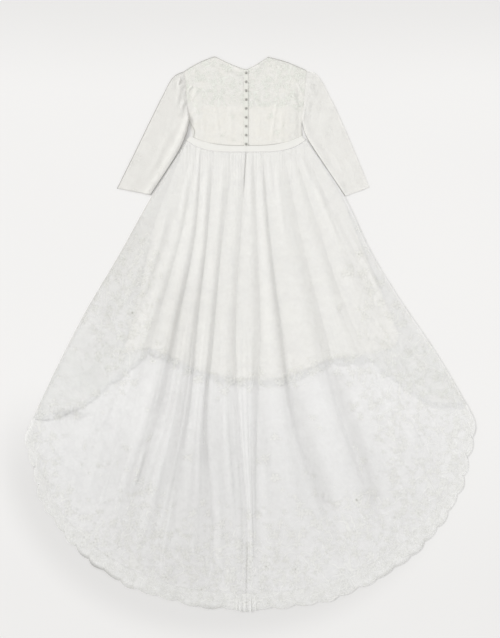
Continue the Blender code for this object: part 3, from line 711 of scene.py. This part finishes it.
front = clothPiece("frontSkirt", frontPlace, evenly(0, lastLine, lastLine * frontSkirt["perPanel"]),
                   evenly(0, 1, frontSkirt["rows"]), yokeLace, marks=frontMarks)
declare(front, ["front_skirt"])


def frontLacePlace(line, share):
    hem = lineValue("frontHem", line)
    band = frontLaceShare(line)
    arc = abs(math.sin(math.pi * frontSkirt["scallops"] * line)) ** 0.7
    down = hem - band + seamGap + band * share * (0.72 + 0.4 * arc)
    return flatSkirt(0.0, line, down)


def frontLaceMarks(line, share):
    # the scalloped hem's corded edge is drawn dark with its shadow painted in, strongly on the left and
    # faintly elsewhere
    strength = 0.75 + 0.5 * wander(line * 6, 0.0, 36) if line < 2.6 else 0.15
    return 0.95, max(strength, 0.0) * smoothStep((share - 0.68) / 0.2)


frontLace = clothPiece("frontEdging", frontLacePlace, evenly(0, lastLine, lastLine * 48), evenly(0, 1, 5),
                       edgeLace, marks=frontLaceMarks)
declare(frontLace, ["front_hem_lace"])

# Opaque underskirt: its back takes up the pleats above it, lower and softer
lining = {"share": 0.5, "rows": 110, "perPanel": 22, "shorter": 0.005}


def liningPlace(line, share):
    inside = smoothStep((line - 1) / 0.5) * smoothStep((lastLine - 1 - line) / 0.5)
    line -= throughStations(liningReach["Left"], share) * smoothStep(2 - line)
    line += throughStations(liningReach["Right"], share) * smoothStep(line - lastLine + 2)
    share = share * (lineValue("liningHem", line) - lining["shorter"])
    x, y = skirtPlan(line, share)
    rise = inside * lining["share"] * (pleatRise(line, share) + creaseRise(x, y))
    return x + skirtForm["lean"] * rise, y, 2 * layer + wall / 2 + rise


underskirt = clothPiece("underskirtBack", liningPlace, panelPlaces(1, lastLine - 1, lining["perPanel"]),
                        evenly(0, 1, lining["rows"]), crepe, thickness=0.0009)
declare(underskirt, ["underskirt_back"])
print("skirt layers made")

# Bodice: where the armhole, the shoulder and the neck lie on each side, how far the side seam is drawn in
# under the arm (sideDip), and how dark the shadow of the gap there is painted along the side edge (wedge)
bodice = {
    "Left": {"side": -1, "wedge": 1.0, "sideDip": 0.012, "waistX": 0.214, "armpitX": 0.226, "armpitY": 0.112,
             "shoulderX": 0.244, "shoulderY": 0.316, "neckX": 0.124, "neckY": 0.374},
    "Right": {"side": 1, "wedge": 0.4, "sideDip": 0.002, "waistX": 0.226, "armpitX": 0.223, "armpitY": 0.112,
              "shoulderX": 0.240, "shoulderY": 0.318, "neckX": 0.088, "neckY": 0.372},
}
neckLow = {"back": 0.322, "front": 0.284}
underTop = {"halfWidth": 0.17, "top": 0.182, "dip": 0.008}


def topEdge(side, x, low):
    x = abs(x)
    if x >= side["neckX"]:
        share = (side["shoulderX"] - x) / (side["shoulderX"] - side["neckX"])
        return mix(side["shoulderY"], side["neckY"], share) + 0.006 * math.sin(math.pi * share)
    return mix(low, side["neckY"], (x / side["neckX"]) ** 1.25)


def bodicePlan(side, across, up, low):
    start = bodiceSeam(side["waistX"])
    edgeY = mix(start, side["shoulderY"], up)
    if edgeY < side["armpitY"]:
        halfWidth = mix(side["waistX"], side["armpitX"], (edgeY - start) / (side["armpitY"] - start))
    else:
        above = (edgeY - side["armpitY"]) / (side["shoulderY"] - side["armpitY"])
        halfWidth = mix(side["armpitX"], side["shoulderX"], above)
    footY = bodiceSeam(side["waistX"] * (1 - across))
    headY = topEdge(side, side["shoulderX"] * (1 - across), low)
    return side["side"] * halfWidth * (1 - across), mix(footY, headY, up)


def backLevel(x, y):
    inside = 1.0 - smoothStep((abs(x) - underTop["halfWidth"] - 0.024) / 0.02)
    below = 1.0 - smoothStep((y - underTop["top"] - 0.022) / 0.1)
    return layer + 2 * layer * inside * below


def bodiceColumns(side, count):
    neck = 1 - side["neckX"] / side["shoulderX"]
    share = round(count * neck)
    return evenly(0, neck, share) + evenly(neck, 1, count - share)[1:]


bodiceGrid = {"columns": 64, "rows": 84}
# Creases of the lace back, in metres from the centre back and the waist
bodiceCreases = tableRows(
    "x y toX toY width height",
    (0.124, 0.205, 0.098, 0.015, 0.0050, 0.0016),
    (-0.126, 0.200, -0.104, 0.020, 0.0060, 0.0009),
    (0.150, 0.170, 0.138, 0.030, 0.008, 0.0012),
    (-0.056, 0.160, -0.060, 0.030, 0.009, 0.0009),
    (-0.168, 0.140, -0.172, 0.030, 0.008, 0.0012),
    (0.052, 0.150, 0.050, 0.030, 0.008, 0.0008),
    (-0.212, 0.262, -0.236, 0.226, 0.0035, 0.0040),
    (-0.190, 0.250, -0.222, 0.190, 0.0060, 0.0026),
    (0.205, 0.270, 0.228, 0.215, 0.0040, 0.0030),
    (0.186, 0.230, 0.214, 0.160, 0.0060, 0.0024))


def edgeSeamAndShadow(distance, width):
    # a sewn or rolled edge shows as a thin line of doubled cloth, darkened further by the edge's painted
    # shadow
    return 1.0 - smoothStep((distance - width) / width)


for sideName, side in bodice.items():
    def place(across, up):
        x, y = bodicePlan(side, across, up, neckLow["back"])
        if across == 1:
            x = side["side"] * seamGap / 2
        # under the arm the side seam is drawn in
        x -= side["side"] * side["sideDip"] * hump(y - 0.076, 0.024) * (1 - across) ** 4
        pucker = 0.0004 * max(0.0, wander(x * 40, y * 22, 8)) + 0.0010 * max(0.0, wander(x * 14, y * 7, 9))
        # the lace is sewn over the sleeve's head
        x += side["side"] * 0.0012 * (1 - across) ** 8 * smoothStep((y - side["armpitY"]) / 0.01)
        creased = sum(ridgeOn(crease, x, y, "x", "y") for crease in bodiceCreases)
        return x, y, backLevel(x, y) + wall / 2 + max(pucker + creased, -0.0004)

    def marks(across, up):
        x, y = bodicePlan(side, across, up, neckLow["back"])
        yoke = 0.06 + 0.84 * smoothStep((y - 0.16) / 0.03)
        head = topEdge(side, side["shoulderX"] * (1 - across), neckLow["back"])
        toTop = (1 - up) * (head - bodiceSeam(x))
        foot = up * (head - bodiceSeam(x))
        footSeam = 0.6 * edgeSeamAndShadow(foot, 0.0014) * smoothStep((0.165 - abs(x)) / 0.05)
        # painted shadow of the gap under the arm, along the side edge
        wedge = side["wedge"] * (1 - smoothStep(across * side["shoulderX"] / 0.006)) * hump(y - 0.076, 0.030)
        return yoke, max(0.7 * edgeSeamAndShadow(toTop, 0.0018), footSeam, wedge), 0.05

    back = clothPiece("laceBack" + sideName, place, bodiceColumns(side, bodiceGrid["columns"]),
                      evenly(0, 1, bodiceGrid["rows"]), yokeLace, marks=marks)
    declare(back, ["lace_back_" + sideName.lower()])

leftSide, rightSide = bodice["Left"], bodice["Right"]
frontColumns = [across - 1 for across in bodiceColumns(leftSide, 40)]
frontColumns += [1 - across for across in reversed(bodiceColumns(rightSide, 40))][1:]


def laceFrontPlace(across, up):
    side = leftSide if across <= 0 else rightSide
    x, y = bodicePlan(side, 1 - abs(across), up, neckLow["front"])
    return x, y, wall / 2, x + 0.4, y


def laceFrontMarks(across, up):
    return 0.8, edgeSeamAndShadow((1 - up) * 0.28, 0.003)


laceFront = clothPiece("laceFront", laceFrontPlace, frontColumns, evenly(0, 1, 60), yokeLace,
                       marks=laceFrontMarks)
declare(laceFront, ["lace_front"])

# Strapless bodice under the lace, with a seam over each bust and a narrow turned top
underbodice = {"seamFoot": 0.102, "seamHead": 0.126, "groove": 0.0008, "grooveWidth": 0.0022,
               "roll": 0.0007, "rollWidth": 0.004}


def underbodicePlace(x, up):
    foot = skirtSeam(x) + seamGap
    top = underTop["top"] - underTop["dip"] * (1 - (abs(x) / underTop["halfWidth"]) ** 2)
    y = mix(foot, top, up)
    seamX = mix(underbodice["seamFoot"], underbodice["seamHead"], up)
    groove = underbodice["groove"] * hump(abs(x) - seamX, underbodice["grooveWidth"])
    roll = underbodice["roll"] * hump(top - y - underbodice["rollWidth"], underbodice["rollWidth"])
    return x, y, 2 * layer + wall / 2 - groove + roll


for sideName, side in bodice.items():
    ends = sorted((side["side"] * seamGap / 2, side["side"] * underTop["halfWidth"]))
    under = clothPiece("underbodice" + sideName, underbodicePlace, evenly(*ends, 90), evenly(0, 1, 50), crepe,
                       thickness=0.0009)
    declare(under, ["underbodice_back_" + sideName.lower()])

# Waistband: a satin band with an edge rolled along each seam
bandForm = {"topHalfWidth": 0.222, "proud": 0.0008, "roll": 0.0003, "pucker": 0.0004}


def bandPlace(x, share):
    highX = math.copysign(min(abs(x), bandForm["topHalfWidth"]), x)
    y = mix(skirtSeam(x), bodiceSeam(highX) - seamGap, share)
    roll = bandForm["roll"] * (hump(share - 0.1, 0.08) + hump(share - 0.9, 0.08))
    pucker = bandForm["pucker"] * wander(x * 60, share * 3, 12)
    height = 3 * layer + (wall + bandForm["proud"]) / 2 + roll + pucker
    return mix(x, highX, share), y, height


for sideName, side in bodice.items():
    ends = sorted((side["side"] * seamGap / 2, side["side"] * seams["halfWidth"]))
    band = clothPiece("waistband" + sideName, bandPlace, evenly(*ends, 110), evenly(0, 1, 14), satin,
                      thickness=0.0012)
    declare(band, ["waistband_back_" + sideName.lower()])
print("bodice made")

# Sleeves: tubes laid flat, from the armhole to the cuff, gathered a little at the head
sleeves = {
    "Left": tableRows(
        "outerX outerY innerX innerY",
        (0.2447, 0.316, 0.2269, 0.112),
        (0.292, 0.290, 0.2295, 0.097),
        (0.334, 0.216, 0.240, 0.057),
        (0.393, 0.097, 0.268, -0.006),
        (0.453, -0.027, 0.320, -0.088),
        (0.516, -0.154, 0.381, -0.180)),
    "Right": tableRows(
        "outerX outerY innerX innerY",
        (0.2407, 0.318, 0.2239, 0.112),
        (0.287, 0.298, 0.2265, 0.098),
        (0.336, 0.214, 0.238, 0.058),
        (0.390, 0.098, 0.270, 0.004),
        (0.443, -0.026, 0.332, -0.090),
        (0.494, -0.150, 0.396, -0.184)),
}
# outline, underarm and cuff set how dark the edges and the cuff are drawn: a seam line with the edge's shadow
# painted in, strongest on the left sleeve; shade is painted shade, darkening the left sleeve
sleeveForm = {"height": 0.0048, "edge": 0.003, "gathers": 6, "around": 40, "along": 110,
              "gatherHeight": {"Left": 0.0026, "Right": 0.0012},
              "rollHeight": {"Left": 0.013, "Right": 0.0040},  # the rolled edge under the arm
              "outline": {"Left": 1.0, "Right": 0.0}, "underarm": 1.0, "shade": {"Left": 0.10, "Right": 0.0},
              "cuff": {"Left": 0.3, "Right": 0.05}, "outerHeight": {"Left": 0.8, "Right": 0.45}}
# creases of the sleeves, from the outer edge (0) to the inner (1) and from the armhole (0) to the cuff (1)
sleeveCreases = {
    "Left": tableRows(
        "rank share toRank toShare width height",
        (0.08, 0.08, 0.24, 0.17, 0.022, 0.0070),
        (0.18, 0.05, 0.50, 0.30, 0.06, 0.0040),
        (0.55, 0.06, 0.66, 0.34, 0.06, 0.0034),
        (0.92, 0.30, 0.55, 0.50, 0.08, 0.0024),
        (0.55, 0.46, 0.70, 0.92, 0.10, 0.0020)),
    "Right": tableRows(
        "rank share toRank toShare width height",
        (0.20, 0.05, 0.42, 0.28, 0.08, 0.0026),
        (0.60, 0.05, 0.62, 0.30, 0.07, 0.0024),
        (0.66, 0.52, 0.55, 0.94, 0.11, 0.0012)),
}


def sleeveEdge(stations, share, edge):
    return (throughStations([row[edge + "X"] for row in stations], share),
            throughStations([row[edge + "Y"] for row in stations], share))


def sleeveTop(sideName, rank, share):
    # height of the upper wall: gathers at the head, creases, and a rolled edge under the arm
    top = sleeveForm["height"] - wall / 2
    wave = 0.5 - 0.5 * math.cos(2 * math.pi * (sleeveForm["gathers"] * rank + 0.5 * wander(rank * 5, 0, 14)))
    head = (1 - smoothStep((share - 0.03) / 0.2)) * smoothStep(share / 0.04)
    creased = sum(ridgeOn(row, rank, share, "rank", "share") for row in sleeveCreases[sideName])
    slow = 0.0016 * max(0.0, wander(rank * 2.2, share * 7.0, 15))
    roll = sleeveForm["rollHeight"][sideName] * hump(rank - 0.93, 0.10)
    roll *= smoothStep(share / 0.03) * (1 - 0.6 * smoothStep((share - 0.35) / 0.5))
    ends = smoothStep(rank / 0.12) * smoothStep((1 - rank) / 0.05)
    low = mix(0.42, 1.0, smoothStep(share / 0.14)) * mix(1.0, 0.5, smoothStep((share - 0.9) / 0.1))
    low *= mix(sleeveForm["outerHeight"][sideName], 1.0, smoothStep(rank / 0.35))
    return low * top + (sleeveForm["gatherHeight"][sideName] * wave * head + creased + slow) * ends + roll


for sideName, stations in sleeves.items():
    sign = bodice[sideName]["side"]

    def place(spot, share):
        rank, part = spot
        outer = sleeveEdge(stations, share, "outer")
        inner = sleeveEdge(stations, share, "inner")
        width = math.dist(outer, inner)
        inset = sleeveForm["edge"] / width
        along = mix(inset, 1 - inset, rank)
        z = wall / 2 if part == "low" else sleeveTop(sideName, rank, share)
        if part == "edge":
            along = wall / 2 / width if rank < 0.5 else 1 - wall / 2 / width
            z = mix(wall, sleeveTop(sideName, rank, share), 0.5)
        around = (rank if part != "low" else -rank) * 0.13
        return (sign * mix(outer[0], inner[0], along), mix(outer[1], inner[1], along), z,
                around + 0.5 * sign, share * 0.5)

    def marks(spot, share):
        rank, part = spot
        dense = 0.10 + 0.75 * (1 - smoothStep((share - 0.20) / 0.16))
        # the edges and the cuff carry a dark seam line with the edge's painted shadow; the third mark is
        # painted shade
        cuff = sleeveForm["cuff"][sideName] * edgeSeamAndShadow((1 - share) * 0.5, 0.002)
        outline = sleeveForm["outline"][sideName] if rank < 0.5 else sleeveForm["underarm"]
        rim = 1.0 if part == "edge" else 0.15 * edgeSeamAndShadow(rank, 0.012) if part == "high" else 0.0
        return dense, max(cuff, rim * outline), sleeveForm["shade"][sideName]

    ranks = evenly(0, 1, sleeveForm["around"])
    loop = [(0.0, "edge")] + [(rank, "low") for rank in ranks] + [(1.0, "edge")]
    loop += [(rank, "high") for rank in reversed(ranks)] + [(0.0, "edge")]
    if sign < 0:
        loop.reverse()
    sleeve = clothPiece("laceSleeve" + sideName, place, loop, evenly(0, 1, sleeveForm["along"]), sleeveLace,
                        marks=marks, closed=True)
    declare(sleeve, ["sleeve_" + sideName.lower()])
print("sleeves made")

# Button stand and covered buttons, with a thread loop for each
standForm = {"width": 0.016, "columns": 10, "rows": 120}
buttons = {"count": 9, "radius": 0.005, "height": 0.004, "loopReach": 0.0085, "loopThread": 0.0005}


def laceTop(y):
    return backLevel(0.0, y) + wall


def standPlace(x, share):
    y = mix(bodiceSeam(0.0), neckLow["back"] - 0.002, share)
    roll = 0.0004 * (hump(abs(x) - 0.0065, 0.0012))
    return x, y, laceTop(y) + seamGap + wall / 2 + roll + 0.0003 * wander(x * 90, y * 90, 20)


stand = clothPiece("buttonStand", standPlace, evenly(-standForm["width"] / 2, standForm["width"] / 2,
                   standForm["columns"]), evenly(0, 1, standForm["rows"]), standCrepe, thickness=0.0010)
declare(stand, ["button_stand"])


def buttonSeat(number):
    low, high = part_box("button_%d" % number)
    return Vector(((low[0] + high[0]) / 2, (low[1] + high[1]) / 2, low[2]))


for number in range(1, buttons["count"] + 1):
    shape = bmesh.new()
    bmesh.ops.create_uvsphere(shape, u_segments=28, v_segments=16, radius=buttons["radius"])
    below = [vert for vert in shape.verts if vert.co.z < -0.000001]
    bmesh.ops.delete(shape, geom=below, context="VERTS")
    rim = [edge for edge in shape.edges if edge.is_boundary]
    bmesh.ops.holes_fill(shape, edges=rim, sides=0)
    base = [face for face in shape.faces if len(face.verts) > 4]
    bmesh.ops.inset_region(shape, faces=base, thickness=0.0006, depth=0.0)
    bmesh.ops.scale(shape, vec=(1.0, 1.0, buttons["height"] / buttons["radius"]), verts=shape.verts)
    bmesh.ops.translate(shape, vec=buttonSeat(number), verts=shape.verts)
    bmesh.ops.recalc_face_normals(shape, faces=shape.faces)
    for face in shape.faces:
        face.smooth = len(face.verts) < 5
    button = finishShape("coveredButton%d" % number, shape, buttonSatin)
    declare(button, ["button_%d" % number])

loopShape = bmesh.new()
for number in range(1, buttons["count"] + 1):
    ring = bmesh.ops.create_circle(loopShape, segments=8, radius=buttons["loopThread"])["verts"]
    bmesh.ops.rotate(loopShape, cent=(0, 0, 0), verts=ring, matrix=Matrix.Rotation(math.pi / 2, 3, "X"))
    bmesh.ops.translate(loopShape, vec=(buttons["loopReach"] * 0.72, 0.0, 0.0), verts=ring)
    edges = list({edge for vert in ring for edge in vert.link_edges})
    bmesh.ops.spin(loopShape, geom=ring + edges, cent=(0, 0, 0), axis=(0, 0, 1), steps=28,
                   angle=2 * math.pi, use_merge=True, use_duplicate=False)
    loopVerts = [vert for vert in loopShape.verts if not vert.tag]  # those of this loop
    for vert in loopVerts:
        vert.tag = True
    bmesh.ops.scale(loopShape, vec=(1.15, 0.9, 1.0), verts=loopVerts)
    lift = Vector((0.0012, 0.0, buttons["loopThread"] + 0.0001))
    bmesh.ops.translate(loopShape, vec=buttonSeat(number) + lift, verts=loopVerts)
bmesh.ops.recalc_face_normals(loopShape, faces=loopShape.faces)
for face in loopShape.faces:
    face.smooth = True
loops = finishShape("buttonLoops", loopShape, satin)
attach(loops, "root")
print("buttons made")

# The flat layers that stay as they are, under the rest
for nodeName in ("underskirt_front", "underbodice_front"):
    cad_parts[nodeName].material_slots[0].material = crepe
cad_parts["waistband_front"].material_slots[0].material = satin

# Floor, light and camera
# the second colour is mixed in for the paper's grain and for painted shade towards the top and the bottom;
# the third is the painted shadow round the train
floorLook = {"size": 40.0, "level": -0.0004, "colour": "#E9E8E6", "shade": "#E0DFDD", "paintedShadowColour": "#D9D8D6",
             "paintedShadowX": -0.10, "paintedShadowY": -0.42, "paintedShadowWide": 0.85, "paintedShadowHigh": 0.75}
paper, paperTree, paperShader = startMaterial("paleSeamlessPaper", 0.9, specular=0.1)
paperNode = partial(addNode, paperTree)
paperPlace = paperNode("TexCoord").outputs["Object"]
grain = paperNode("TexNoise", paperPlace, named={"Scale": 1.1, "Detail": 2.0})
# painted shade of uneven light: the paper is darker towards the top and the bottom of the picture
paperUp = paperNode("SeparateXYZ", paperPlace).outputs[1]
upper = paperNode("MapRange", paperUp, 0.95, 1.40, **soft)
lower = paperNode("MapRange", paperUp, -0.2, -1.1, 0.0, 0.5, **soft)
darker = paperNode("Math", upper, lower, operation="ADD")
darker = paperNode("Math", grain, 0.3, darker, operation="MULTIPLY_ADD", use_clamp=True)
paperColour = paperNode("Mix", darker, data_type="RGBA", named={
    6: linearColour(floorLook["colour"]), 7: linearColour(floorLook["shade"])}).outputs[2]
# and a soft painted shadow on the floor round the lower part of the train
paintedShadowMiddle = (floorLook["paintedShadowX"], floorLook["paintedShadowY"], 0.0)
paintedShadowSize = (floorLook["paintedShadowWide"], floorLook["paintedShadowHigh"], 1.0)
oval = paperNode("VectorMath", paperPlace, paintedShadowMiddle, operation="SUBTRACT")
oval = paperNode("VectorMath", oval, paintedShadowSize, operation="DIVIDE")
ovalUp = paperNode("SeparateXYZ", oval).outputs[1]
oval = paperNode("VectorMath", oval, operation="LENGTH").outputs["Value"]
paintedShadow = paperNode("Math", paperNode("MapRange", oval, 1.15, 0.95, **soft),
                 paperNode("MapRange", ovalUp, 0.35, -0.3, **soft), operation="MULTIPLY")
paperColour = paperNode("Mix", paintedShadow, data_type="RGBA", named={
    6: paperColour, 7: linearColour(floorLook["paintedShadowColour"])}).outputs[2]
paperTree.links.new(paperColour, paperShader.inputs["Base Color"])
floorShape = bmesh.new()
bmesh.ops.create_grid(floorShape, x_segments=2, y_segments=2, size=floorLook["size"] / 2)
bmesh.ops.translate(floorShape, vec=(0.0, 0.0, floorLook["level"]), verts=floorShape.verts)
floor = finishShape("floor", floorShape, paper)

keyLight = {"from": (-1.0, 0.42, 0.86), "strength": 1.5, "softness": 22.0}
sun = bpy.data.lights.new("keyLight", "SUN")
sun.energy = keyLight["strength"]
sun.angle = math.radians(keyLight["softness"])
sunObject = bpy.data.objects.new("keyLight", sun)
sunObject.rotation_euler = (-Vector(keyLight["from"])).to_track_quat("-Z", "Y").to_euler()
scene.collection.objects.link(sunObject)

world = bpy.data.worlds.new("softStudio")
scene.world = world
world.use_nodes = True
background = world.node_tree.nodes["Background"]
background.inputs["Color"].default_value = linearColour("#FAFAFB")
background.inputs["Strength"].default_value = 0.86
scene.view_settings.view_transform = "Standard"

# The photograph's frame is 2.0 by 2.552 m of floor, seen from straight above
view = {"width": 2.0, "height": 2.552, "middleX": 0.016, "middleY": -0.676, "up": 6.5, "sensor": 24.0}
camera = bpy.data.cameras.new("overheadCamera")
camera.sensor_fit = "VERTICAL"
camera.sensor_height = view["sensor"]
camera.lens = view["sensor"] * view["up"] / view["height"]
cameraObject = bpy.data.objects.new("overheadCamera", camera)
cameraObject.location = (view["middleX"] + centreBack, view["middleY"] + waistLine, view["up"])
scene.collection.objects.link(cameraObject)
scene.camera = cameraObject
print("floor, light and camera set")
